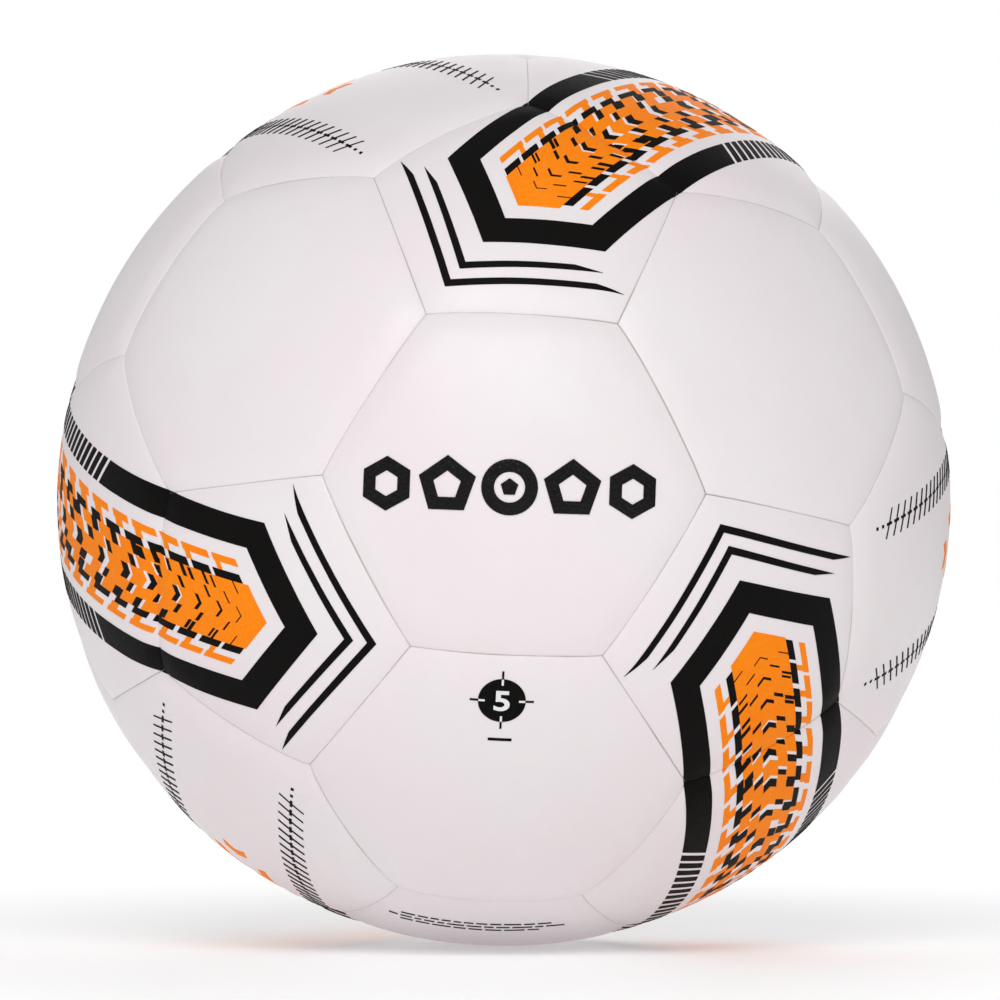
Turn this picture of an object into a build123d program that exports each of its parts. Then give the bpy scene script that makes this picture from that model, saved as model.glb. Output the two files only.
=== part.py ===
from build123d import *
from math import atan, asin, cos, floor, pi, radians, sin, sqrt, tan
import os

# Soccer ball, size 5: 20 hexagonal and 12 pentagonal panels sewn over a bladder with a needle valve.
# Origin at the ball's centre, +Z up, the badge panel faces -Y and the valve faces +Y.
# All lengths in millimetres, angles in degrees where the name says so.

# The ball as it lies
ball_diameter = 220.0
front_panel_turn_deg = -32.7       # direction of the badge panel's first pentagon, from +X towards +Z

# Cover laminate: skin, foam pad and backing cloth, bonded to each other
skin_thickness = 1.1
foam_thickness = 2.6
cloth_thickness = 1.2
glue_line = 0.05

# Sewn edges: the skin turns inwards along every seam
seam_gap = 0.16
flange_thickness = 0.9
flange_overhang = 0.2              # the turned-in edge reaches this much further in than the cloth
edge_radius = 1.6                  # bend where the skin turns in
thread_diameter = 0.7
thread_sides = 6                   # the waxed thread is pressed into facets
stitch_pitch = 5.0
stitch_height = 1.7                # from the end of the turned-in edge out to the thread
stitch_end_margin = 2.2            # from the corner of the panel to the end of the thread
stitch_hole_clearance = 0.12       # round the thread, in the turned-in edges
thread_clearance = 0.05            # between the thread and what it lies against

# Bladder
bladder_thickness = 0.8
bladder_gap = 0.2

# Valve
valve_hole_diameter = 9.0          # through skin, foam, patch and bladder
neck_clearance = 0.3
valve_recess = 0.5                 # below the ball's surface
valve_flange_diameter = 30.0
valve_flange_thickness = 1.6
boot_wall = 2.6
boot_floor = 1.6                   # rubber below the core's collar
core_diameter = 5.6
core_collar_diameter = 7.8
core_collar_depth = 8.0            # from the core's top to its collar
core_collar_length = 4.0
core_clearance = 0.05
core_tip_diameter = 3.2
core_tip_length = 3.0
needle_diameter = 1.9              # the bore grips a standard inflation needle
needle_bore_length = 12.0
funnel_diameter = 3.4
funnel_depth = 1.2
patch_diameter = 34.0
patch_thickness = 1.0
patch_clearance = 0.3

# Helps for cutting and picking
cutter_reach = 1.2                 # cutting shapes reach this far from the ball's centre, in ball radii
surface_tolerance = 0.16           # an edge this close to the ball's surface lies on it
angle_tolerance_deg = 1.0          # panels this much further apart than neighbours still count as such

# Derived radii, all from the ball's centre
ball_radius = ball_diameter / 2
foam_outer = ball_radius - skin_thickness - glue_line
foam_inner = foam_outer - foam_thickness
cloth_outer = foam_inner - glue_line
cloth_inner = cloth_outer - cloth_thickness
patch_outer = cloth_outer
patch_inner = patch_outer - patch_thickness
flange_inner = cloth_inner - flange_overhang
stitch_radius = flange_inner + stitch_height
bladder_outer = min(flange_inner, cloth_inner, patch_inner) - bladder_gap
bladder_inner = bladder_outer - bladder_thickness

# Distances from the plane of a seam
skin_set_back = seam_gap / 2
flange_face = skin_set_back + flange_thickness
thread_offset = flange_face + thread_clearance + thread_diameter / 2
pad_set_back = thread_offset + thread_diameter / 2 + thread_clearance
thread_tail = 2 * thread_diameter  # from the last stitch hole to the end of the thread

# Truncated icosahedron: angles at the centre of the ball, in radians, for an edge of length 1
corner_distance = sqrt(58 + 18 * sqrt(5)) / 4
half_seam_angle = asin(0.5 / corner_distance)


def seam_angle(sides):
    """Angle from the middle of a panel to the middle of one of its seams."""
    apothem = 0.5 / tan(pi / sides)
    face_distance = sqrt(corner_distance ** 2 - apothem ** 2 - 0.25)
    return atan(apothem / face_distance)


# ---------------------------------------------------------------- layout of the panels

def icosahedron_corners():
    """The twelve pentagon directions of a ball that isn't turned yet."""
    golden = (1 + sqrt(5)) / 2
    corners = []
    for short in (-1, 1):
        for long in (-golden, golden):
            corners += [Vector(0, short, long), Vector(short, long, 0), Vector(long, 0, short)]
    return [corner.normalized() for corner in corners]


def hexagon_directions(pentagons):
    """The middle of every three pentagons that are next to each other."""
    neighbour_cosine = 0.4
    count = len(pentagons)
    middles = []
    for i in range(count):
        for j in range(i + 1, count):
            for k in range(j + 1, count):
                a, b, c = pentagons[i], pentagons[j], pentagons[k]
                if min(a.dot(b), b.dot(c), c.dot(a)) > neighbour_cosine:
                    middles.append((a + b + c).normalized())
    return middles


def nearest(direction, others):
    return max(others, key=direction.dot)


def facing(direction, towards):
    """A frame at the ball's centre: z along direction, x towards the other one."""
    side = towards - direction * direction.dot(towards)
    return Plane(origin=(0, 0, 0), x_dir=side, z_dir=direction)


def front_to_back(direction):
    """Sorting key: from the badge panel to the valve panel, and round the ball in each ring."""
    return (round(direction.Y, 3), round(direction.Z, 3), round(direction.X, 3))


def lay_out_panels():
    """Directions of all pentagons and hexagons with the ball turned as it lies."""
    pentagons = icosahedron_corners()
    hexagons = hexagon_directions(pentagons)
    front = hexagons[0]
    as_made = facing(front, nearest(front, pentagons))
    turn = radians(front_panel_turn_deg)
    as_it_lies = Plane(origin=(0, 0, 0), x_dir=(cos(turn), 0, sin(turn)), z_dir=(0, -1, 0))

    def turned(direction):
        return as_it_lies.from_local_coords(as_made.to_local_coords(direction)).normalized()

    return (sorted([turned(p) for p in pentagons], key=front_to_back),
            sorted([turned(h) for h in hexagons], key=front_to_back))


def seam_places(pentagons, hexagons):
    """One frame for each seam: x to the middle of the seam, z across it."""
    widest = cos(2 * seam_angle(6) + radians(angle_tolerance_deg))
    pairs = [(p, h, seam_angle(5)) for p in pentagons for h in hexagons if p.dot(h) > widest]
    for i, first in enumerate(hexagons):
        pairs += [(first, other, seam_angle(6)) for other in hexagons[i + 1:] if first.dot(other) > widest]
    places = []
    for first, other, angle in pairs:
        sideways = (other - first * first.dot(other)).normalized()
        middle = first * cos(angle) + sideways * sin(angle)
        across = sideways * cos(angle) - first * sin(angle)
        places.append(Plane(origin=(0, 0, 0), x_dir=middle, z_dir=across).location)
    return places


# ---------------------------------------------------------------- shapes of one panel

def sphere(radius):
    """A sphere whose poles and seam line stay clear of a panel that faces +Z."""
    return Rot(0, 90, 0) * Sphere(radius)


def seam_pyramid(sides, set_back):
    """The cone of space inside a panel's seams, with its faces set_back inside the seam planes."""
    angle = seam_angle(sides)
    tip = set_back / sin(angle)
    height = cutter_reach * ball_radius
    reach = height * tan(angle) / cos(pi / sides)
    apex = Vector(0, 0, tip)
    turns = [(2 * k + 1) * pi / sides for k in range(sides)]
    rim = [Vector(reach * cos(t), reach * sin(t), tip + height) for t in turns]
    faces = [Face(Wire.make_polygon([apex, rim[k - 1], rim[k]])) for k in range(sides)]
    faces.append(Face(Wire.make_polygon(rim)))
    return Solid(Shell(faces))


def layer(sides, set_back, outer, inner):
    """A curved plate between two spheres, inside the seams."""
    return (sphere(outer) & seam_pyramid(sides, set_back)) - sphere(inner)


def seam_frames(sides):
    """One frame for each seam of a panel: x to the middle of the seam, z across it."""
    angle = seam_angle(sides)
    frames = []
    for k in range(sides):
        turn = 2 * pi * k / sides
        middle = Vector(sin(angle) * cos(turn), sin(angle) * sin(turn), cos(angle))
        across = Vector(cos(angle) * cos(turn), cos(angle) * sin(turn), -sin(angle))
        frames.append(Plane(origin=(0, 0, 0), x_dir=middle, z_dir=across))
    return frames


def thread_half_angle():
    """From the middle of a seam to the end of its thread, at the centre of the ball."""
    return half_seam_angle - stitch_end_margin / stitch_radius


def stitch_angles():
    """Where the thread crosses a seam, measured from the seam's middle."""
    half = thread_half_angle() - thread_tail / stitch_radius
    gaps = max(1, floor(2 * half * stitch_radius / stitch_pitch))
    return [half * (2 * k / gaps - 1) for k in range(gaps + 1)]


def stitch_holes(sides):
    """Holes for the thread through all the turned-in edges of a panel."""
    radius = thread_diameter / 2 + stitch_hole_clearance
    length = 2 * pad_set_back
    holes = []
    for frame in seam_frames(sides):
        for angle in stitch_angles():
            place = Location((stitch_radius * cos(angle), stitch_radius * sin(angle), 0))
            holes.append(frame.location * place * Cylinder(radius, length))
    return holes


def valve_hole(diameter):
    length = cutter_reach * ball_radius
    return Cylinder(diameter / 2, length, align=(Align.CENTER, Align.CENTER, Align.MIN))


def panel_skin(sides):
    """Outer skin of one panel: a shallow tray with a rounded rim and stitched, turned-in edges."""
    block = layer(sides, skin_set_back, ball_radius, flange_inner)
    rim = [edge for edge in block.edges() if abs((edge @ 0.5).length - ball_radius) < surface_tolerance]
    block = fillet(rim, edge_radius)
    hollow = sphere(ball_radius - skin_thickness) & seam_pyramid(sides, flange_face)
    return block - hollow - stitch_holes(sides)


def panel_foam(sides):
    return layer(sides, pad_set_back, foam_outer, foam_inner)


def panel_cloth(sides):
    return layer(sides, pad_set_back, cloth_outer, cloth_inner)


# ---------------------------------------------------------------- thread, bladder and valve

def faceted_tube(route, radius, sides):
    """A closed solid with flat faces along a route of straight stretches, mitred at its corners."""
    headings = [(end - start).normalized() for start, end in zip(route, route[1:])]
    mitres = [one + following for one, following in zip(headings, headings[1:])] + [headings[-1]]
    opening = Plane(origin=route[0], x_dir=route[0], z_dir=headings[0])
    turns = [2 * pi * k / sides for k in range(sides)]
    ring = [opening.from_local_coords(Vector(radius * cos(t), radius * sin(t), 0)) for t in turns]
    faces = [Face(Wire.make_polygon(ring))]
    for corner, heading, mitre in zip(route[1:], headings, mitres):
        onward = [point + heading * ((corner - point).dot(mitre) / heading.dot(mitre)) for point in ring]
        faces += [Face(Wire.make_polygon([ring[k - 1], ring[k], onward[k], onward[k - 1]]))
                  for k in range(sides)]
        ring = onward
    faces.append(Face(Wire.make_polygon(ring)))
    return Solid(Shell(faces))


def seam_thread():
    """Thread of one seam: it runs along one turned-in edge, crosses, and runs along the other."""
    end = thread_half_angle()
    stops = [(-end, 1)]
    side = 1
    for angle in stitch_angles():
        stops += [(angle, side), (angle, -side)]
        side = -side
    stops.append((end, side))
    route = [Vector(stitch_radius * cos(angle), stitch_radius * sin(angle), at * thread_offset)
             for angle, at in stops]
    return faceted_tube(route, thread_diameter / 2, thread_sides)


def bladder():
    wall = sphere(bladder_outer) - sphere(bladder_inner)
    return wall - valve_hole(valve_hole_diameter)


def valve_patch():
    ring = (sphere(patch_outer) & valve_hole(patch_diameter)) - sphere(patch_inner)
    return ring - valve_hole(valve_hole_diameter)


def turned_piece(outline):
    """A round solid from its half outline, given as (radius, height) points from the axis."""
    points = [(radius, 0, height) for radius, height in outline]
    return revolve(Face(Wire.make_polygon(points)), axis=Axis.Z)


def core_outline(clearance):
    """Half outline of the valve core, made larger by clearance for the space it sits in."""
    top = ball_radius - valve_recess
    collar_top = top - core_collar_depth + clearance
    collar_end = top - core_collar_depth - core_collar_length - clearance
    tip_start = top - funnel_depth - needle_bore_length
    tip_end = tip_start - core_tip_length
    barrel = core_diameter / 2 + clearance
    collar = core_collar_diameter / 2 + clearance
    tip = core_tip_diameter / 2 + clearance
    return [(0, top), (barrel, top), (barrel, collar_top), (collar, collar_top), (collar, collar_end),
            (barrel, collar_end), (barrel, tip_start), (tip, tip_end), (0, tip_end)]


def valve_core():
    """Soft plug with a funnel and a blind bore for the needle; the closed end splits round it."""
    top = ball_radius - valve_recess
    bore_end = top - funnel_depth - needle_bore_length
    core = turned_piece(core_outline(0))
    bore = Cylinder(needle_diameter / 2, top - bore_end, align=(Align.CENTER, Align.CENTER, Align.MIN))
    funnel = turned_piece([(0, top), (funnel_diameter / 2, top),
                           (needle_diameter / 2, top - funnel_depth), (0, top - funnel_depth)])
    return core - Location((0, 0, bore_end)) * bore - funnel


def valve_housing():
    """Rubber boot: a neck through the cover, a flange bonded inside the bladder, a sleeve for the core."""
    top = ball_radius - valve_recess
    neck = valve_hole_diameter / 2 - neck_clearance
    flange_outer = bladder_inner - glue_line
    collar_end = top - core_collar_depth - core_collar_length
    boot_end = collar_end - boot_floor
    boot = core_collar_diameter / 2 + core_clearance + boot_wall
    body = turned_piece([(0, boot_end), (boot, boot_end), (boot, flange_outer - valve_flange_thickness),
                         (0, flange_outer - valve_flange_thickness)])
    rising = turned_piece([(0, boot_end), (neck, boot_end), (neck, top), (0, top)])
    flange = (sphere(flange_outer) & valve_hole(valve_flange_diameter))
    flange -= sphere(flange_outer - valve_flange_thickness)
    return flange + body + rising - turned_piece(core_outline(core_clearance))


# ---------------------------------------------------------------- assembly

def write(name, shape, curved=True):
    """One STEP file for each piece; flat-faced pieces need no curves on their surfaces."""
    export_step(shape, "parts/" + name + ".step", write_pcurves=curved)


def in_place(shape, directions, others):
    """A copy of a panel's shape at each direction, with its first seam towards the nearest other panel."""
    return [facing(d, nearest(d, others)).location * shape for d in directions]


def build():
    os.makedirs("parts", exist_ok=True)
    pentagons, hexagons = lay_out_panels()
    valve_place = facing(hexagons[-1], nearest(hexagons[-1], pentagons)).location

    hexagon_skin = panel_skin(6)
    for number, panel in enumerate(in_place(hexagon_skin, hexagons[:-1], pentagons), start=1):
        write(f"hexagon_panel_{number:02d}", panel)
    write("valve_panel", valve_place * (hexagon_skin - valve_hole(valve_hole_diameter)))
    for number, panel in enumerate(in_place(panel_skin(5), pentagons, hexagons), start=1):
        write(f"pentagon_panel_{number:02d}", panel)

    hexagon_foam = panel_foam(6)
    valve_foam = valve_place * (hexagon_foam - valve_hole(valve_hole_diameter))
    write("hexagon_foam_pads", Compound(in_place(hexagon_foam, hexagons[:-1], pentagons) + [valve_foam]))
    write("pentagon_foam_pads", Compound(in_place(panel_foam(5), pentagons, hexagons)))

    hexagon_cloth = panel_cloth(6)
    valve_cloth = valve_place * (hexagon_cloth - valve_hole(patch_diameter + 2 * patch_clearance))
    write("hexagon_backing_cloths", Compound(in_place(hexagon_cloth, hexagons[:-1], pentagons) + [valve_cloth]))
    write("pentagon_backing_cloths", Compound(in_place(panel_cloth(5), pentagons, hexagons)))

    thread = seam_thread()
    runs = [place * thread for place in seam_places(pentagons, hexagons)]
    write("seam_stitching", Compound(runs), curved=False)

    write("bladder", valve_place * bladder())
    write("valve_patch", valve_place * valve_patch())
    write("valve_housing", valve_place * valve_housing())
    write("valve_core", valve_place * valve_core())


build()
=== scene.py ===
import math
import random

import bmesh
import bpy
import numpy as np
from mathutils import Matrix, Vector, noise


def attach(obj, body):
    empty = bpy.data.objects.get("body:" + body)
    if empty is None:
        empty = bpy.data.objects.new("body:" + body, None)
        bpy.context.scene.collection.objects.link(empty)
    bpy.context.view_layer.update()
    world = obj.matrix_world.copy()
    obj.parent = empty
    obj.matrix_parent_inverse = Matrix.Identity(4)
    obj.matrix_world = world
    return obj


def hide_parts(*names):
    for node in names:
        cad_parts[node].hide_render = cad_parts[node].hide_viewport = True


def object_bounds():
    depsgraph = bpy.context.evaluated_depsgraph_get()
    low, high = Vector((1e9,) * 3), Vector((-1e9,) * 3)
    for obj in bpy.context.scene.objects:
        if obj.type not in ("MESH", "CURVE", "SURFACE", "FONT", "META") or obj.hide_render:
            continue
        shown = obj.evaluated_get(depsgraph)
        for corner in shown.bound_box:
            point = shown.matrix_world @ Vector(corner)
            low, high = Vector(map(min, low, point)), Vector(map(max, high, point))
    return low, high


# Soccer ball, size 5, sewn from 20 hexagonal and 12 pentagonal padded panels.
# Metres, origin at the ball's centre, +Z up, the badge panel faces -Y, the valve faces +Y.
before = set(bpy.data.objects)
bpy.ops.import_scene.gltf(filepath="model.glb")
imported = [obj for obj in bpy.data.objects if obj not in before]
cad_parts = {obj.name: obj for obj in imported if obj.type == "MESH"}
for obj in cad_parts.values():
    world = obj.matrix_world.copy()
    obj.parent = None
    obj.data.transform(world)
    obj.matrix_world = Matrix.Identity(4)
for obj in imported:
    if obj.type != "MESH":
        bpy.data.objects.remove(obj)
cad_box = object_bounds()

# ---------------------------------------------------------------- bladder, valve and patch
# Black butyl bladder with a moulded valve boot, a soft pale core that takes the needle, and a
# rubber ring round the valve. All three are dull moulded rubber with a trace of moulding talc.


class Shade:
    """A socket of a material's nodes. Arithmetic on it adds Math nodes to the material."""

    def __init__(self, tree, socket=None):
        self.tree = tree
        self.socket = socket                 # none on the one that only adds nodes

    def node(self, kind, settings, inputs, output=0):
        """Adds one node: its settings first, then the values or links of its inputs."""
        made = self.tree.nodes.new(kind)
        for name, value in settings.items():
            setattr(made, name, value)
        for name, value in inputs.items():
            if isinstance(value, Shade):
                self.tree.links.new(value.socket, made.inputs[name])
            else:
                made.inputs[name].default_value = value
        return Shade(self.tree, made.outputs[output])

    def math(self, operation, first, second):
        return self.node("ShaderNodeMath", {"operation": operation}, {0: first, 1: second})

    def __add__(self, other):
        return self.math("ADD", self, other)

    def __sub__(self, other):
        return self.math("SUBTRACT", self, other)

    def __rsub__(self, other):
        return self.math("SUBTRACT", other, self)

    def __mul__(self, other):
        return self.math("MULTIPLY", self, other)

    def clamped(self):
        return self.node("ShaderNodeClamp", {}, {"Value": self})

    def blend(self, one, other):
        """The colour one where this is 0 and the other where it is 1."""
        return self.node("ShaderNodeMix", {"data_type": "RGBA"}, {0: self, 6: one, 7: other}, output=2)


def new_finish(name, **constants):
    """A material with one Principled shader, its plain numbers set; returns it with its node helper."""
    finish = bpy.data.materials.new(name)
    finish.use_nodes = True
    tree = finish.node_tree
    shader = tree.nodes["Principled BSDF"]
    for socket, value in constants.items():
        shader.inputs[socket.replace("_", " ")].default_value = value
    return finish, Shade(tree), shader


def feed(shade, shader, **values):
    """Links worked-out values into the shader's sockets."""
    for socket, value in values.items():
        shade.tree.links.new(value.socket, shader.inputs[socket.replace("_", " ")])


def rgba(red, green, blue):
    return (red, green, blue, 1.0)


def on_object(shade):
    """Places on the piece itself, in metres, so that a pattern has its real size."""
    return shade.node("ShaderNodeTexCoord", {}, {}, output="Object")


def cloudy(shade, where, scale, detail=3.0):
    return shade.node("ShaderNodeTexNoise", {}, {"Vector": where, "Scale": scale, "Detail": detail})


def pebbles(shade, where, scale):
    return shade.node("ShaderNodeTexVoronoi", {"feature": "SMOOTH_F1"},
                      {"Vector": where, "Scale": scale, "Smoothness": 0.6})


def bump(shade, height, distance, strength=1.0):
    return shade.node("ShaderNodeBump", {}, {"Height": height, "Distance": distance, "Strength": strength})


def rubber(name, colour, talc_colour, base_roughness):
    finish, shade, shader = new_finish(name, Specular_IOR_Level=0.4)
    where = on_object(shade)
    talc = (cloudy(shade, where, 90.0) * 2.2 - 0.85).clamped()
    specks = cloudy(shade, where, 2600.0, detail=2.0)
    feed(shade, shader, Base_Color=talc.blend(rgba(*colour), rgba(*talc_colour)),
         Roughness=talc * 0.15 + specks * 0.1 + base_roughness,
         Normal=bump(shade, specks, 0.00006))
    return finish


def paint_node(node, finish):
    """Gives a hidden or plain piece its finish all over."""
    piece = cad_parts[node]
    piece.data.materials.clear()
    piece.data.materials.append(finish)


paint_node("bladder", rubber("butyl_bladder", (0.016, 0.016, 0.018), (0.07, 0.07, 0.075), 0.5))
paint_node("valve_patch", rubber("patch_rubber", (0.02, 0.02, 0.02), (0.06, 0.06, 0.06), 0.6))
paint_node("valve_housing", rubber("valve_boot_rubber", (0.014, 0.014, 0.015), (0.05, 0.05, 0.05), 0.45))
paint_node("valve_core", rubber("valve_core_silicone", (0.55, 0.54, 0.52), (0.42, 0.41, 0.4), 0.35))

# ---------------------------------------------------------------- foam pads
# White closed-cell foam, split from a block into sheets and laminated to the back of every panel's
# skin before the panels are cut. It shows nowhere on the finished ball.
finish, shade, shader = new_finish("closed_cell_foam", Specular_IOR_Level=0.3)
where = on_object(shade)
cells = pebbles(shade, where, 2200.0)
feed(shade, shader, Base_Color=cells.blend(rgba(0.86, 0.86, 0.83), rgba(0.7, 0.7, 0.67)),
     Roughness=cells * 0.2 + 0.7, Normal=bump(shade, cells, 0.0002))
for node in ("hexagon_foam_pads", "pentagon_foam_pads"):
    paint_node(node, finish)

# ---------------------------------------------------------------- backing cloths
# Polyester and cotton cloth in plain weave, glued under the foam of every panel. It stops the cover
# stretching, and lies against the bladder.
finish, shade, shader = new_finish("backing_cloth", Specular_IOR_Level=0.2, Sheen_Weight=0.3)
where = on_object(shade)
yarns = {"Vector": where, "Scale": 420.0}
warp = shade.node("ShaderNodeTexWave", {"bands_direction": "X"}, yarns)
weft = shade.node("ShaderNodeTexWave", {"bands_direction": "Z"}, yarns)
weave = warp * weft
feed(shade, shader, Base_Color=weave.blend(rgba(0.6, 0.58, 0.52), rgba(0.82, 0.8, 0.74)),
     Roughness=weave * 0.1 + 0.8, Normal=bump(shade, weave, 0.0002))
for node in ("hexagon_backing_cloths", "pentagon_backing_cloths"):
    paint_node(node, finish)

# ---------------------------------------------------------------- seam thread
# Waxed polyester thread, white, pulled tight in a lock stitch through the turned-in edges of each
# pair of panels. It lies on the cover's inner side.
finish, shade, shader = new_finish("waxed_thread", Specular_IOR_Level=0.5)
strands = cloudy(shade, on_object(shade), 3000.0, detail=2.0)
feed(shade, shader, Base_Color=strands.blend(rgba(0.7, 0.69, 0.66), rgba(0.88, 0.87, 0.84)),
     Roughness=strands * 0.2 + 0.4, Normal=bump(shade, strands, 0.0001))
paint_node("seam_stitching", finish)

# ---------------------------------------------------------------- cover panels
# Thirty-two skins of white grained synthetic leather over foam. Each edge is turned in and sewn to
# its neighbour's, so the panels puff up slightly between shallow, closed seams.
mm = 0.001
ball_radius = (cad_box[1][0] - cad_box[0][0]) / 2
panel_turn = math.radians(-32.7)         # first pentagon beside the badge panel, from +X towards +Z
edge_turn_in = 5.2 * mm                  # from the ball's surface to the edge of the sewn margin
edge_thickness = 0.9 * mm
edge_overlap = 0.9 * mm                  # the edge's inner face rises this far above the skin's
skin_thickness = 1.1 * mm
valve_hole_radius = 4.5 * mm
# The cover's relief, in millimetres
seam_half_gap = 0.03                     # on the surface
seam_bend_depth = 0.45                   # how deep the skin bends down to a seam
seam_bend_width = 1.7
seam_hollow_depth = 0.7                  # wider, softer hollow along every seam
seam_hollow_width = 3.6
corner_dimple_depth = 0.2                # where three panels meet the sewing pulls the cover in
corner_dimple_width = 4.5
puff_margin = 9.0                        # each panel's own puff dies out this near its seams
puff_range = (-0.1, 0.16)
foam_waves = (38.0, 0.18)                # slow unevenness: waves to a metre, and its height
skin_waves = (150.0, 0.035)              # the same, finer
panel_rings = (0.07, 0.08, 0.10, 0.12, 0.16, 0.22, 0.3, 0.4, 0.55, 0.8, 1.1)   # from the seam inwards
cuts_along_seam = 23
rings_inside = 6                         # of the skin's inner side, which nobody sees


def square_frame(forward, towards):
    """Columns x, y, z: z is forward, and x is the part of towards that is square to it."""
    z = forward.normalized()
    x = (towards - z * towards.dot(z)).normalized()
    return Matrix((x, z.cross(x), z)).transposed()


def nearest(direction, others):
    return max(others, key=direction.dot)


# The pentagons' middles are the corners of an icosahedron, the hexagons' the middles of its faces
golden = (1 + math.sqrt(5)) / 2
pentagons = [Vector(corner).normalized() for a in (-1, 1) for b in (-golden, golden)
             for corner in ((0, a, b), (a, b, 0), (b, 0, a))]
hexagons = [(a + b + c).normalized() for i, a in enumerate(pentagons) for j, b in enumerate(pentagons[:i])
            for c in pentagons[:j] if min(a.dot(b), b.dot(c), c.dot(a)) > 0.4]
as_made = square_frame(hexagons[0], nearest(hexagons[0], pentagons))
as_it_lies = square_frame(Vector((0, -1, 0)), Vector((math.cos(panel_turn), 0, math.sin(panel_turn))))


def front_to_back(direction):
    """The panels are numbered from the badge panel to the valve panel, round the ball in each ring."""
    return (round(direction.y, 3), round(direction.z, 3), round(direction.x, 3))


pentagons = sorted([as_it_lies @ as_made.transposed() @ p for p in pentagons], key=front_to_back)
hexagons = sorted([as_it_lies @ as_made.transposed() @ h for h in hexagons], key=front_to_back)
directions = pentagons + hexagons

corner_distance = math.sqrt(58 + 18 * math.sqrt(5)) / 4      # of the solid with edges of length 1


def face_distance(sides):
    """From the solid's middle to its flat faces with this many sides."""
    apothem = 0.5 / math.tan(math.pi / sides)
    return math.sqrt(corner_distance ** 2 - apothem ** 2 - 0.25)


def seam_angle(sides):
    """From the middle of a panel to the middle of one of its seams."""
    return math.atan(0.5 / math.tan(math.pi / sides) / face_distance(sides))


face_vectors = np.array([list(p / face_distance(5)) for p in pentagons]
                        + [list(h / face_distance(6)) for h in hexagons])
draw = random.Random(7)
noise.seed_set(7)
panel_puff = np.array([draw.uniform(*puff_range) for _ in directions])


def seams_near(places):
    """The panel under each place, and its distance in millimetres from the two nearest seams."""
    heights = places @ face_vectors.T
    ranked = np.argsort(-heights, axis=1)[:, :4]
    panel = ranked[:, 0]
    rows = np.arange(len(places))
    gaps = []
    for rank in (1, 2, 3):
        other = ranked[:, rank]
        across = face_vectors[panel] - face_vectors[other]
        lean = (heights[rows, panel] - heights[rows, other]) / np.linalg.norm(across, axis=1)
        gaps.append(np.arcsin(np.clip(lean, 0, 1)) * ball_radius / mm)
    gaps = np.sort(np.array(gaps), axis=0)
    return panel, gaps[0], gaps[1]


def seam_profile(gap):
    """How far the skin lies below the round ball at this distance from a seam."""
    slope = np.clip(1 - gap / seam_bend_width, 0, 1)
    bend = seam_bend_depth * (1 - np.sqrt(np.maximum(0, 1 - slope ** 2)))
    return bend + seam_hollow_depth * np.exp(-(gap / seam_hollow_width) ** 2)


def unevenness(place):
    """Small slow shifts that the foam and the sewing leave everywhere in the cover, in metres."""
    slow = noise.noise_vector(place * foam_waves[0]) * foam_waves[1] * mm
    quick = noise.noise_vector(place * skin_waves[0] + Vector((7, 3, 5))) * skin_waves[1] * mm
    return slow + quick


def on_cover(places, lift=0.0):
    """Points of the cover's outer surface in these directions, raised by lift metres."""
    places = places / np.linalg.norm(places, axis=1)[:, None]
    panel, near, second = seams_near(places)
    depth = (seam_profile(near) ** 3 + seam_profile(second) ** 3) ** (1 / 3)
    depth += corner_dimple_depth * np.exp(-(near ** 2 + second ** 2) / corner_dimple_width ** 2)
    puff = panel_puff[panel] * (1 - np.exp(-(near / puff_margin) ** 2))
    radii = ball_radius + lift + (puff - depth) * mm
    points = places * radii[:, None]
    shifts = np.array([list(unevenness(Vector(p))) for p in points])
    return points + shifts


def first_seam_along_x(sides):
    """Turns a polygon made with a corner at the top so that the middle of a side lies along +X."""
    return Matrix.Rotation(math.pi / sides - math.pi / 2, 4, "Z")


def carried_on(bm, loop, shape):
    """Grows one more ring of faces from a loop of edges, each new corner placed by shape."""
    made = bmesh.ops.extrude_edge_only(bm, edges=loop)["geom"]
    for vert in [g for g in made if isinstance(g, bmesh.types.BMVert)]:
        vert.co = shape(vert.co)
    return [g for g in made if isinstance(g, bmesh.types.BMEdge)]


def flat_panel(sides, hole_radius=0.0):
    """The outer face of a panel, flat, one unit from the ball's centre; great circles are straight."""
    grow = 1 / math.cos(seam_angle(sides)) ** 2
    apothem = math.tan(seam_angle(sides)) - seam_half_gap * mm / ball_radius * grow
    bm = bmesh.new()
    bmesh.ops.create_circle(bm, cap_ends=True, segments=sides, radius=apothem / math.cos(math.pi / sides),
                            matrix=first_seam_along_x(sides))
    bm.faces.ensure_lookup_table()
    middle = bm.faces[0]
    for width in panel_rings:
        bmesh.ops.inset_region(bm, faces=[middle], thickness=width * mm / ball_radius * grow,
                               use_even_offset=True, use_boundary=True)
    if hole_radius:
        bmesh.ops.subdivide_edges(bm, edges=[e for e in bm.edges if e.calc_length() > apothem / 2],
                                  cuts=cuts_along_seam)
        loop = list(middle.edges)
        bmesh.ops.delete(bm, geom=[middle], context="FACES_ONLY")
        rim = hole_radius / ball_radius

        def nearer_hole(share):
            return lambda co: co * ((rim + (co.length - rim) * share) / co.length)

        for left in range(cuts_along_seam, -1, -1):
            loop = carried_on(bm, loop, nearer_hole(left / (left + 1)))
    else:
        bmesh.ops.poke(bm, faces=[middle])
        bmesh.ops.subdivide_edges(bm, edges=[e for e in bm.edges if e.calc_length() > apothem / 2],
                                  cuts=cuts_along_seam, use_grid_fill=True)
    bmesh.ops.translate(bm, verts=bm.verts, vec=(0, 0, 1))
    return bm


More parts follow.
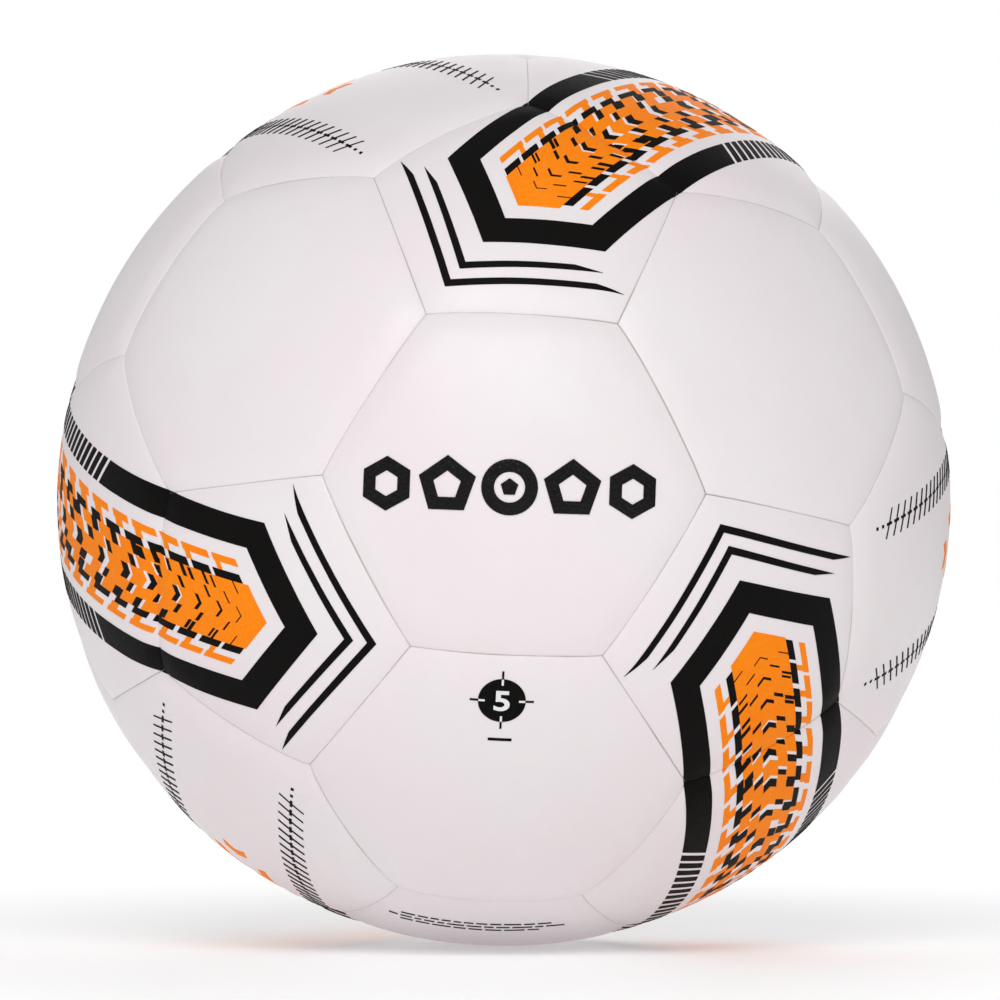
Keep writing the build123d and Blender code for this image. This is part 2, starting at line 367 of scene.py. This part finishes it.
def turn_in(bm, edges, centre):
    """Carries a panel's outline down as its sewn margin, and back up to the skin's inner side."""
    def inwards(distance):
        return lambda co: co * (1 - distance / co.length)

    def sideways(distance):
        def shape(co):
            across = centre * co.length - co
            across -= co.normalized() * across.dot(co.normalized())
            return co + across.normalized() * distance
        return shape

    loop = carried_on(bm, edges, inwards(edge_turn_in / 2))
    loop = carried_on(bm, loop, inwards(edge_turn_in / 2))
    loop = carried_on(bm, loop, sideways(edge_thickness))
    return carried_on(bm, loop, inwards(skin_thickness - edge_turn_in + edge_overlap))


def skin_of(direction, sides, flat, hole=False):
    """One panel's skin, closed, in its place on the ball."""
    others = hexagons if sides == 5 else pentagons
    place = square_frame(direction, nearest(direction, others))
    bm = flat.copy()
    bmesh.ops.transform(bm, matrix=place.to_4x4(), verts=bm.verts)
    layer = bm.verts.layers.float.new("seam_distance")
    points = np.array([list(v.co) for v in bm.verts])
    lengths = np.linalg.norm(points, axis=1)[:, None]
    _, near, _ = seams_near(points / lengths)
    for vert, point, gap in zip(bm.verts, on_cover(points), near):
        vert.co = point
        vert[layer] = gap
    last = math.asin(valve_hole_radius / ball_radius) if hole else 0.0
    rims = [e for e in bm.edges if e.is_boundary]
    outer = [e for e in rims if e.verts[0].co.angle(direction) > 2 * last]
    loop = turn_in(bm, outer, direction)

    def nearer_middle(share):
        def shape(co):
            angle = last + (co.angle(direction) - last) * share
            axis = direction.cross(co).normalized()
            return Matrix.Rotation(angle, 3, axis) @ direction * (ball_radius - skin_thickness)
        return shape

    for left in range(rings_inside - 1, 0, -1):
        loop = carried_on(bm, loop, nearer_middle(left / (left + 1)))
    if hole:
        bmesh.ops.bridge_loops(bm, edges=loop + [e for e in rims if e not in outer])
    else:
        bmesh.ops.contextual_create(bm, geom=loop)
    bmesh.ops.recalc_face_normals(bm, faces=bm.faces)
    return bm


def finish_piece(name, bm, finish):
    """Turns a bmesh into a piece of the ball that moves with the ball's one body."""
    mesh = bpy.data.meshes.new(name)
    bm.to_mesh(mesh)
    bm.free()
    mesh.polygons.foreach_set("use_smooth", [True] * len(mesh.polygons))
    mesh.materials.append(finish)
    piece = bpy.data.objects.new(name, mesh)
    bpy.context.collection.objects.link(piece)
    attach(piece, "root")
    return piece


finish, shade, shader = new_finish("white_synthetic_leather", Specular_IOR_Level=0.45, Coat_Roughness=0.35,
                                   Coat_Weight=0.12, Sheen_Weight=0.04)
where = on_object(shade)
tone = cloudy(shade, where, 22.0)
blotches = cloudy(shade, where, 160.0)
grain = pebbles(shade, where, 1500.0) * 0.6 + cloudy(shade, where, 1900.0, detail=2.0) * 0.4
seam = shade.node("ShaderNodeAttribute", {"attribute_name": "seam_distance"}, {}, output="Fac")
in_seam = (1 - seam * 3.2).clamped() * (cloudy(shade, where, 26.0) * 5.0 - 2.45).clamped()
white = (tone * 2.6 - 0.8).clamped().blend(rgba(0.84, 0.755, 0.785), rgba(0.84, 0.805, 0.815))
handled = (blotches * 0.5).blend(white, rgba(0.80, 0.745, 0.755))
feed(shade, shader, Base_Color=(in_seam * 0.8).blend(handled, rgba(0.46, 0.33, 0.3)),
     Roughness=grain * 0.12 + blotches * 0.1 + 0.36,
     Normal=bump(shade, grain, 0.00005, 0.8))
leather = finish


def sew_on(node, direction, sides, flat, hole=False):
    """One panel's skin as a finished piece, in place of the plain one."""
    skin = finish_piece(node + "_skin", skin_of(direction, sides, flat, hole), leather)
    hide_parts(node)


flat_pentagon = flat_panel(5)
flat_hexagon = flat_panel(6)
for number, direction in enumerate(pentagons, start=1):
    sew_on(f"pentagon_panel_{number:02d}", direction, 5, flat_pentagon)
for number, direction in enumerate(hexagons[:-1], start=1):
    sew_on(f"hexagon_panel_{number:02d}", direction, 6, flat_hexagon)
sew_on("valve_panel", hexagons[-1], 6, flat_panel(6, valve_hole_radius), hole=True)

# ---------------------------------------------------------------- black print: bands and chevrons
# Six bands screen-printed across the cover before sewing, three running back from the badge panel
# and three from the valve panel. A matt black ink frames each band, with two thin chevrons at its
# tip, rows of ticks at its tail and the dark grooves of a tyre tread down its middle.
degree = math.pi / 180
ink_thickness = 0.17 * mm                # most of it is soaked into the skin
black_lift = 0.1 * mm
film_cell = 1.2                          # degrees between the cuts that let the film follow the ball
seam_cuts = (0.06, 0.2, 0.4, 0.65, 0.95, 1.3, 1.7, 2.5, 3.8, 5.5)     # millimetres either side of a seam
seam_cut_band = 0.03                     # faces this near a cut are offered to it, on a ball of radius 1
seam_reach = math.cos(13.6 * degree)     # a little over half a seam's length
neighbours_within = math.cos(44 * degree)
seams = []                               # for each: the normal of its plane, and its own middle
for index, one in enumerate(directions):
    for other in range(index):
        if one.dot(directions[other]) > neighbours_within:
            across = (Vector(face_vectors[index]) - Vector(face_vectors[other])).normalized()
            middle = one + directions[other]
            seams.append((across, (middle - across * middle.dot(across)).normalized()))

# Everything on a band is in degrees along it from its pentagon's middle, and degrees to one side of
# its middle line. First the corners of the black frame and of the chevrons, then the ticks.
frame_arm = ((-8.6, 0), (0, 12), (2, 8.5), (-4.2, 0))
frame_side = ((0, 12), (29.6, 12), (31.6, 8.5), (2, 8.5))
chevrons = (((-16.1, 0), (-2.9, 17.3), (-4.4, 14.0), (-14.95, 0)),
            ((-13.2, 0), (-2.6, 13.7), (-4.1, 10.5), (-12.05, 0)))
tick_start = 30.3
tick_pitch = 1.85
tick_count = 34
tick_inner = 8.5
tick_outer = 12.0
tick_slant = 2.0
tick_widths = (1.25, 0.23)               # of the first tick and after the last
broken_line = (10.05, 10.4)              # its two sides
broken_line_start = 52.0
broken_line_dash = 1.2
tail_dots = (0.6, 1.9)                   # after the last tick
tail_dot = (10.0, 10.4, 0.45)            # its two sides and its length


def mirrored(corners):
    return [corners, [(along, -off) for along, off in corners]]


def upright(start, end, inner, outer):
    """A block with its ends square across the band, and its mirror image."""
    return mirrored([(start, outer), (end, outer), (end, inner), (start, inner)])


def ticks():
    """The rows of ticks after the frame; they get thinner towards the band's tail."""
    marks = []
    for number in range(tick_count):
        along = tick_start + number * tick_pitch
        width = tick_widths[0] - (tick_widths[0] - tick_widths[1]) * number / tick_count
        marks += mirrored([(along, tick_outer), (along + width, tick_outer),
                           (along + width + tick_slant, tick_inner), (along + tick_slant, tick_inner)])
        if along > broken_line_start:
            middle = along + tick_slant / 2 + width / 2
            marks += upright(middle - broken_line_dash / 2, middle + broken_line_dash / 2, *broken_line)
    tail = tick_start + tick_count * tick_pitch
    for after in tail_dots:
        marks += upright(tail + after, tail + after + tail_dot[2], tail_dot[0], tail_dot[1])
    return marks


# The tread is five lanes either side of the middle line. Its marks start thin and close together
# at the tip and grow into blocks and gaps further back, a little differently on each side.
tread_slant = 0.72                       # every '<' edge falls back by this much for each degree out
lanes = ((0.0, 1.15), (1.15, 2.6), (2.6, 4.05))
lane_ends = (60.0, 63.0, 66.0)           # where the orange of each lane stops
last_groove = 5.0                        # before the orange stops
groove_gap = 0.15                        # orange between a groove and the next lane
edge_lane = (4.05, 5.0)
edge_end = 46.0
edge_leg = 2.7                           # the inward legs of the edge's dashes reach this far in
outer_lane = (5.9, 6.75)
outer_end = 58.0
long_arms_from = 22.0                    # beyond it the outer marks' arms reach across the edge lane
tread_tip = -1.67
tail_block = (69.5, 71.6, 0.0, 1.75)


def lug(start, end, inner, outer, side):
    """One slanted block of the tread, from inner to outer degrees off the band's middle line."""
    back_in = tread_slant * inner
    back_out = tread_slant * outer
    return [(start + back_in, side * inner), (end + back_in, side * inner),
            (end + back_out, side * outer), (start + back_out, side * outer)]


def lane_marks(lane):
    """Black grooves (start, end) and bare gaps (start, end) of one lane, from the tip backwards."""
    place = 1.6 + 1.1 * lane + 0.6 * draw.random()
    grooves, gaps = [], []
    while place < lane_ends[lane] - last_groove:
        width = min(0.14 + 0.055 * place, 2.0) * draw.uniform(0.7, 1.15)
        bare = max(0.0, 0.065 * place - 0.45) * draw.uniform(0.5, 1.3)
        end = place + width
        grooves.append((place, end))
        if bare > 0.25:
            gaps.append((place - bare, place) if draw.random() < 0.5 else (end, end + bare))
        place = end + bare + draw.uniform(2.3, 3.8) + 0.035 * place
    return grooves, gaps


def edge_marks(first):
    """Black dashes (start, end) along the edge of the tread."""
    place = first
    dashes = []
    while place < edge_end:
        length = draw.uniform(2.7, 4.2)
        dashes.append((place - tread_slant * edge_lane[0], place + length - tread_slant * edge_lane[0]))
        place += length + draw.uniform(0.35, 0.6) + 0.05 * place
    return dashes


def outer_marks(side):
    """The orange line outside the edge, broken into marks that each have an arm inwards."""
    place = 2.9 - tread_slant * outer_lane[0]
    marks = []
    while place < outer_end:
        length = draw.uniform(3.6, 5.2)
        arm = min(0.8 + 0.05 * max(place, 0), 2.6)
        arm_end = place + length - 0.2 * arm
        arm_tip = edge_lane[1] if place < long_arms_from else edge_lane[0]
        marks.append(lug(place, place + length, *outer_lane, side))
        marks.append(lug(arm_end - arm, arm_end, arm_tip, outer_lane[0], side))
        place += length + draw.uniform(0.4, 0.7) + 0.035 * max(place, 0)
    return marks


black_shapes = [*mirrored(frame_arm), *mirrored(frame_side)]
for chevron in chevrons:
    black_shapes += mirrored(chevron)
black_shapes += ticks()
orange_shapes = []
for side in (1, -1):
    for number, (inner, outer) in enumerate(lanes):
        grooves, gaps = lane_marks(number)
        if number == 0 and side == -1:
            grooves, gaps = centre_grooves, centre_gaps      # the middle marks are whole '<' shapes
        elif number == 0:
            centre_grooves, centre_gaps = grooves, gaps
        black_shapes += [lug(start, end, inner, outer - groove_gap, side) for start, end in grooves]
        start = tread_tip
        for gap_start, gap_end in gaps + [(lane_ends[number], 0)]:
            if gap_start - start > 0.4:
                orange_shapes.append(lug(start, gap_start, inner, outer, side))
            start = gap_end
    orange_shapes.append(lug(*tail_block, side))
    for start, end in edge_marks(1.5 if side > 0 else 2.0):
        black_shapes.append(lug(start, end, *edge_lane, side))
        leg = min(0.25 + 0.06 * start, 1.5)
        middle = start + (end - start) * draw.uniform(0.3, 0.8)
        black_shapes.append(lug(middle, middle + leg, edge_leg, edge_lane[0], side))
    orange_shapes += outer_marks(side)


def band_frame(number):
    """Axes of a band: its pentagon's middle, the way it runs back, and the side direction."""
    along = pentagons[number]
    badge = hexagons[0]
    corner_turn = Matrix.Rotation(-36 * degree, 3, along)
    away = -(corner_turn @ (badge - along * badge.dot(along)).normalized())
    return Matrix((along, away, along.cross(away))).transposed()


def cut_in_cells(bm, cell):
    """Cuts flat faces along a square grid, so that they can follow a curve."""
    for axis in (Vector((1, 0, 0)), Vector((0, 1, 0))):
        reach = [axis.dot(v.co) for v in bm.verts]
        for cut in range(math.ceil(min(reach) / cell), math.ceil(max(reach) / cell)):
            bmesh.ops.bisect_plane(bm, geom=bm.verts[:] + bm.edges[:] + bm.faces[:], dist=1e-5,
                                   plane_co=axis * (cut * cell), plane_no=axis)


def laid_on_ball(shapes):
    """Flat shapes in degrees along a band and off it, cut small and wrapped on a ball of radius 1."""
    bm = bmesh.new()
    for corners in shapes:
        bm.faces.new([bm.verts.new((along, off, 0)) for along, off in corners])
    bmesh.ops.remove_doubles(bm, verts=bm.verts, dist=0.001)
    cut_in_cells(bm, film_cell)
    for vert in bm.verts:
        along, off = vert.co.x * degree, vert.co.y * degree
        vert.co = (math.cos(off) * math.cos(along), math.cos(off) * math.sin(along), math.sin(off))
    return bm


def cut_at_seams(bm):
    """Cuts the film along every seam it crosses, so that it bends down into the seam with the skin."""
    for across, middle in seams:
        for offset in [0.0] + [side * cut * mm / ball_radius for cut in seam_cuts for side in (1, -1)]:
            near = [f for f in bm.faces if abs(f.calc_center_median().dot(across) - offset) < seam_cut_band
                    and f.calc_center_median().normalized().dot(middle) > seam_reach]
            if near:
                around = set(near).union(*[set(f.verts) for f in near], *[set(f.edges) for f in near])
                bmesh.ops.bisect_plane(bm, geom=list(around), dist=1e-7, plane_co=across * offset,
                                       plane_no=across)
    centres = np.array([list(f.calc_center_median().normalized()) for f in bm.faces])
    _, gaps, _ = seams_near(centres)
    split = [f for f, gap in zip(bm.faces, gaps) if gap < seam_cuts[0]]
    bmesh.ops.delete(bm, geom=split, context="FACES")


def printed(name, wrapped, turn, finish, lift):
    """A closed film of ink on the cover, lift above the skin, from faces on a ball of radius 1."""
    bm = wrapped.copy()
    bmesh.ops.transform(bm, matrix=turn.to_4x4(), verts=bm.verts)
    points = on_cover(np.array([list(v.co) for v in bm.verts]), lift)
    for vert, point in zip(bm.verts, points):
        vert.co = point
    under = set(bm.verts)
    bmesh.ops.extrude_face_region(bm, geom=bm.faces[:], use_keep_orig=True)
    for vert in under:
        vert.co *= 1 - ink_thickness / ball_radius
    bmesh.ops.recalc_face_normals(bm, faces=bm.faces)
    for edge in bm.edges:
        edge.smooth = edge.calc_face_angle(0) < 1
    return finish_piece(name, bm, finish)


finish, shade, shader = new_finish("black_print", Specular_IOR_Level=0.05)
where = on_object(shade)
patches = cloudy(shade, where, 70.0)
grit = pebbles(shade, where, 1700.0)
feed(shade, shader, Base_Color=patches.blend(rgba(0.0035, 0.0031, 0.0029), rgba(0.006, 0.0054, 0.005)),
     Roughness=grit * 0.15 + patches * 0.1 + 0.42, Normal=bump(shade, grit, 0.00006, 0.7))
black_print = finish

band_frames = [band_frame(number) for number in range(3)]
band_frames += [axes @ Matrix.Diagonal((-1, -1, 1)) for axes in band_frames]      # half a turn on


def print_bands(shapes, colour, finish, lift):
    """One film of ink for each of the six bands, cut to the seams on the first and turned on."""
    band = laid_on_ball(shapes)
    bmesh.ops.transform(band, matrix=band_frames[0].to_4x4(), verts=band.verts)
    cut_at_seams(band)
    for number, axes in enumerate(band_frames, start=1):
        printed(f"band_{number}_{colour}_print", band, axes @ band_frames[0].transposed(), finish,
                lift)


print_bands(black_shapes, "black", black_print, black_lift)

# ---------------------------------------------------------------- orange print
# Fluorescent orange blocks of the tread and the broken line beside them, screen-printed before the
# black so that the black lies over it. The orange lets a little of the white skin through.
orange_lift = 0.07 * mm
finish, shade, shader = new_finish("orange_print", Specular_IOR_Level=0.06)
where = on_object(shade)
patches = cloudy(shade, where, 60.0)
grit = pebbles(shade, where, 1700.0)
speckle = (patches * 0.5 + cloudy(shade, where, 1500.0, detail=2.0) * 1.2 - 0.35).clamped()
feed(shade, shader, Base_Color=speckle.blend(rgba(1.0, 0.2, 0.002), rgba(1.0, 0.3, 0.01)),
     Roughness=grit * 0.15 + 0.45, Normal=bump(shade, grit, 0.00006, 0.7))
print_bands(orange_shapes, "orange", finish, orange_lift)

# ---------------------------------------------------------------- emblem
# Plain emblem across the badge panel: outlines of the cover's own hexagon and pentagon either side
# of a ring. It is printed in a thick gloss ink that stands a little above the skin.
emblem_middle = Vector((-0.011, -0.9999, -0.0083))
emblem_tilt = -1.8 * degree
emblem_lift = 0.16 * mm
# In millimetres: the width of every stroke, and the corners, radius and place across of each outline
emblem_stroke = 2.9
emblem_marks = ((6, 6.3, -28.2), (5, 6.9, -14.2), (40, 6.4, 0.0), (5, 6.9, 14.2), (6, 6.3, 28.2))
emblem_pip = (5, 2.1, 0.0)
mark_cell = 2.2


def pressed_on_ball(bm, middle, tilt):
    """Wraps flat faces, in millimetres, on a ball of radius 1: x to the right and y up at middle."""
    cut_in_cells(bm, mark_cell)
    place = square_frame(middle, Vector((1, 0, 0))) @ Matrix.Rotation(tilt, 3, "Z")
    for vert in bm.verts:
        away = Vector((vert.co.x, vert.co.y)) * (mm / ball_radius)
        if away.length > 0:
            away = away.normalized() * math.tan(away.length)
        vert.co = (place @ Vector((away.x, away.y, 1))).normalized()
    bmesh.ops.recalc_face_normals(bm, faces=bm.faces)
    if sum(f.normal.dot(middle) for f in bm.faces) < 0:
        bmesh.ops.reverse_faces(bm, faces=bm.faces)


def solid_mark(bm, corners, radius, across):
    """A flat shape with this many corners, one of them at the top."""
    made = bmesh.ops.create_circle(bm, cap_ends=True, segments=corners, radius=radius,
                                   matrix=Matrix.Translation((across, 0, 0)))
    return made["verts"][0].link_faces[0]


def bar(bm, middle, length, width, turn=0.0):
    """A flat bar, turned round the origin after it is put in its place."""
    size = Matrix.Diagonal((length / 2, width / 2, 1, 1))
    bmesh.ops.create_grid(bm, x_segments=1, y_segments=1, size=1.0, matrix=Matrix.Rotation(turn, 4, "Z")
                          @ Matrix.Translation((*middle, 0)) @ size)


finish, shade, shader = new_finish("gloss_black_print", Specular_IOR_Level=0.12, Coat_Weight=0.08,
                                   Coat_Roughness=0.12)
where = on_object(shade)
grit = pebbles(shade, where, 1300.0)
patches = cloudy(shade, where, 120.0)
feed(shade, shader, Base_Color=patches.blend(rgba(0.003, 0.0028, 0.0026), rgba(0.008, 0.0075, 0.007)),
     Roughness=grit * 0.22 + 0.14, Normal=bump(shade, grit, 0.00016, 1.0))
bm = bmesh.new()
for mark in emblem_marks:
    face = solid_mark(bm, *mark)
    bmesh.ops.inset_region(bm, faces=[face], thickness=emblem_stroke, use_even_offset=True,
                           use_boundary=True)
    bmesh.ops.delete(bm, geom=[face], context="FACES")
solid_mark(bm, *emblem_pip)
pressed_on_ball(bm, emblem_middle, emblem_tilt)
printed("emblem_print", bm, Matrix.Identity(3), finish, emblem_lift)

# ---------------------------------------------------------------- size badge
# Black disc with four ticks and a white numeral 5 for the ball's size, and a short rule below it,
# printed on the panel under the badge panel.
badge_middle = Vector((-0.026, -0.8938, -0.4475))
badge_tilt = -2.5 * degree
white_lift = 0.16 * mm
# In millimetres
badge_radius = 5.45
badge_tick_width = 0.5
black_tick = (5.4, 7.3)                  # how far out each starts and ends
white_tick = (3.9, 5.35)
badge_rule = (5.4, 0.72)
rule_drop = 10.2
numeral_height = 5.1
numeral_stretch = 1.22                   # the numerals on such balls are drawn wide


def badge_ticks(start, end):
    """Four narrow bars round the middle of the badge."""
    bm = bmesh.new()
    for quarter in range(4):
        bar(bm, ((start + end) / 2, 0), end - start, badge_tick_width, quarter * 90 * degree)
    return bm


bm = badge_ticks(*black_tick)
solid_mark(bm, 48, badge_radius, 0.0)
bar(bm, (0, -rule_drop), *badge_rule)
pressed_on_ball(bm, badge_middle, badge_tilt)
printed("size_badge_print", bm, Matrix.Identity(3), black_print, black_lift)

letters = bpy.data.curves.new("numeral", "FONT")
letters.body = "5"
letters.resolution_u = 6
letters.offset = 0.022
stand_in = bpy.data.objects.new("numeral", letters)
bpy.context.collection.objects.link(stand_in)
depsgraph = bpy.context.evaluated_depsgraph_get()
flat_numeral = bpy.data.meshes.new_from_object(stand_in.evaluated_get(depsgraph))
bpy.data.objects.remove(stand_in)
bm = badge_ticks(*white_tick)
first = len(bm.verts)
bm.from_mesh(flat_numeral)
bm.verts.ensure_lookup_table()
numeral = bm.verts[first:]
low = [min(v.co[k] for v in numeral) for k in (0, 1)]
high = [max(v.co[k] for v in numeral) for k in (0, 1)]
grow = numeral_height / (high[1] - low[1])
bmesh.ops.translate(bm, verts=numeral, vec=(-(low[0] + high[0]) / 2, -(low[1] + high[1]) / 2, 0))
bmesh.ops.scale(bm, verts=numeral, vec=(grow * numeral_stretch, grow, 1))
bmesh.ops.remove_doubles(bm, verts=bm.verts, dist=0.001)
pressed_on_ball(bm, badge_middle, badge_tilt)
finish, shade, shader = new_finish("white_print", Specular_IOR_Level=0.3)
where = on_object(shade)
grit = pebbles(shade, where, 1700.0)
feed(shade, shader, Base_Color=grit.blend(rgba(0.84, 0.83, 0.83), rgba(0.78, 0.77, 0.77)),
     Roughness=grit * 0.15 + 0.42, Normal=bump(shade, grit, 0.00005, 0.7))
printed("size_numeral_print", bm, Matrix.Identity(3), finish, white_lift)

# ---------------------------------------------------------------- care marks
# Three rows of small plain dashes in the same matt black ink, low on the front, where such balls
# carry their fine print. Sizes in millimetres.
care_middle = Vector((-0.07, -0.35, -0.93))
care_tilt = -2.0 * degree
dash_rows = ((-18.0, 16.0), (-21.0, 19.0), (-18.0, 16.0))    # where each starts, and its last dash at most
dash_row_pitch = 2.3
dash_height = 0.75
dash_space = 0.7
bm = bmesh.new()
for row, (across, row_end) in enumerate(dash_rows):
    while across < row_end:
        length = draw.uniform(1.6, 5.0)
        bar(bm, (across + length / 2, -row * dash_row_pitch), length, dash_height)
        across += length + dash_space
pressed_on_ball(bm, care_middle, care_tilt)
printed("care_marks_print", bm, Matrix.Identity(3), black_print, black_lift)

# ---------------------------------------------------------------- stage, light and camera
# A plain pale floor under the ball, a white surround and two soft lights. The floor glows more the
# further it is from the ball, so that it runs into the surround without an edge.
floor_radius = 1.5
floor_finish, shade, shader = new_finish("pale_floor", Roughness=0.6, Specular_IOR_Level=0.2,
                                         Emission_Strength=0.5)
where = on_object(shade)
dust = cloudy(shade, where, 60.0)
from_ball = shade.node("ShaderNodeVectorMath", {"operation": "LENGTH"}, {0: where}, output="Value")
glow = (from_ball * 0.9 + 0.36).clamped()
feed(shade, shader, Base_Color=dust.blend(rgba(0.86, 0.86, 0.86), rgba(0.88, 0.88, 0.88)),
     Emission_Color=glow.blend(rgba(0.0, 0.0, 0.0), rgba(1.0, 1.0, 1.0)))
bm = bmesh.new()
bmesh.ops.create_circle(bm, cap_ends=True, segments=96, radius=floor_radius,
                        matrix=Matrix.Translation((0, 0, -ball_radius)))
mesh = bpy.data.meshes.new("floor")
bm.to_mesh(mesh)
bm.free()
mesh.materials.append(floor_finish)
floor = bpy.data.objects.new("floor", mesh)
bpy.context.collection.objects.link(floor)

# The surround that the camera sees is plain white. What lights the ball is dimmer, and a little
# brighter overhead.
world = bpy.data.worlds.new("studio")
world.use_nodes = True
tree = world.node_tree
shade = Shade(tree)
surround = shade.node("ShaderNodeBackground", {}, {"Color": rgba(1.0, 1.0, 1.0), "Strength": 1.0})
around = shade.node("ShaderNodeTexCoord", {}, {}, output="Generated")
height = shade.node("ShaderNodeSeparateXYZ", {}, {"Vector": around}, output="Z")
sky = (height * 0.5 + 0.5).clamped().blend(rgba(0.86, 0.86, 0.86), rgba(0.92, 0.92, 0.92))
daylight = shade.node("ShaderNodeBackground", {}, {"Color": sky, "Strength": 0.52})
seen = shade.node("ShaderNodeLightPath", {}, {}, output="Is Camera Ray")
both = shade.node("ShaderNodeMixShader", {}, {0: seen, 1: daylight, 2: surround})
tree.links.new(both.socket, tree.nodes["World Output"].inputs["Surface"])
bpy.context.scene.world = world
bpy.context.scene.view_settings.view_transform = "Standard"


def softbox(name, place, size, watts):
    """A soft rectangular light that points at the ball's middle."""
    lamp = bpy.data.lights.new(name, "AREA")
    lamp.shape = "RECTANGLE"
    lamp.size, lamp.size_y = size
    lamp.energy = watts
    stand = bpy.data.objects.new(name, lamp)
    stand.location = place
    stand.rotation_euler = (-Vector(place)).to_track_quat("-Z", "Y").to_euler()
    bpy.context.collection.objects.link(stand)


softbox("key_above", (-0.12, -1.4, 1.0), (0.9, 0.7), 12.0)
softbox("fill_back", (0.2, 1.6, 0.9), (1.2, 0.9), 5.0)

camera_distance = 11.6 * ball_radius
camera_place = Vector((-0.0240, -0.9991, -0.0350)) * camera_distance      # a little below the middle
camera_data = bpy.data.cameras.new("camera")
camera_data.sensor_width = 36.0
camera_data.lens = 185.7
camera_data.shift_x = -0.0037
camera = bpy.data.objects.new("camera", camera_data)
camera.location = camera_place
camera.rotation_euler = (-camera_place).to_track_quat("-Z", "Y").to_euler()
bpy.context.collection.objects.link(camera)
bpy.context.scene.camera = camera
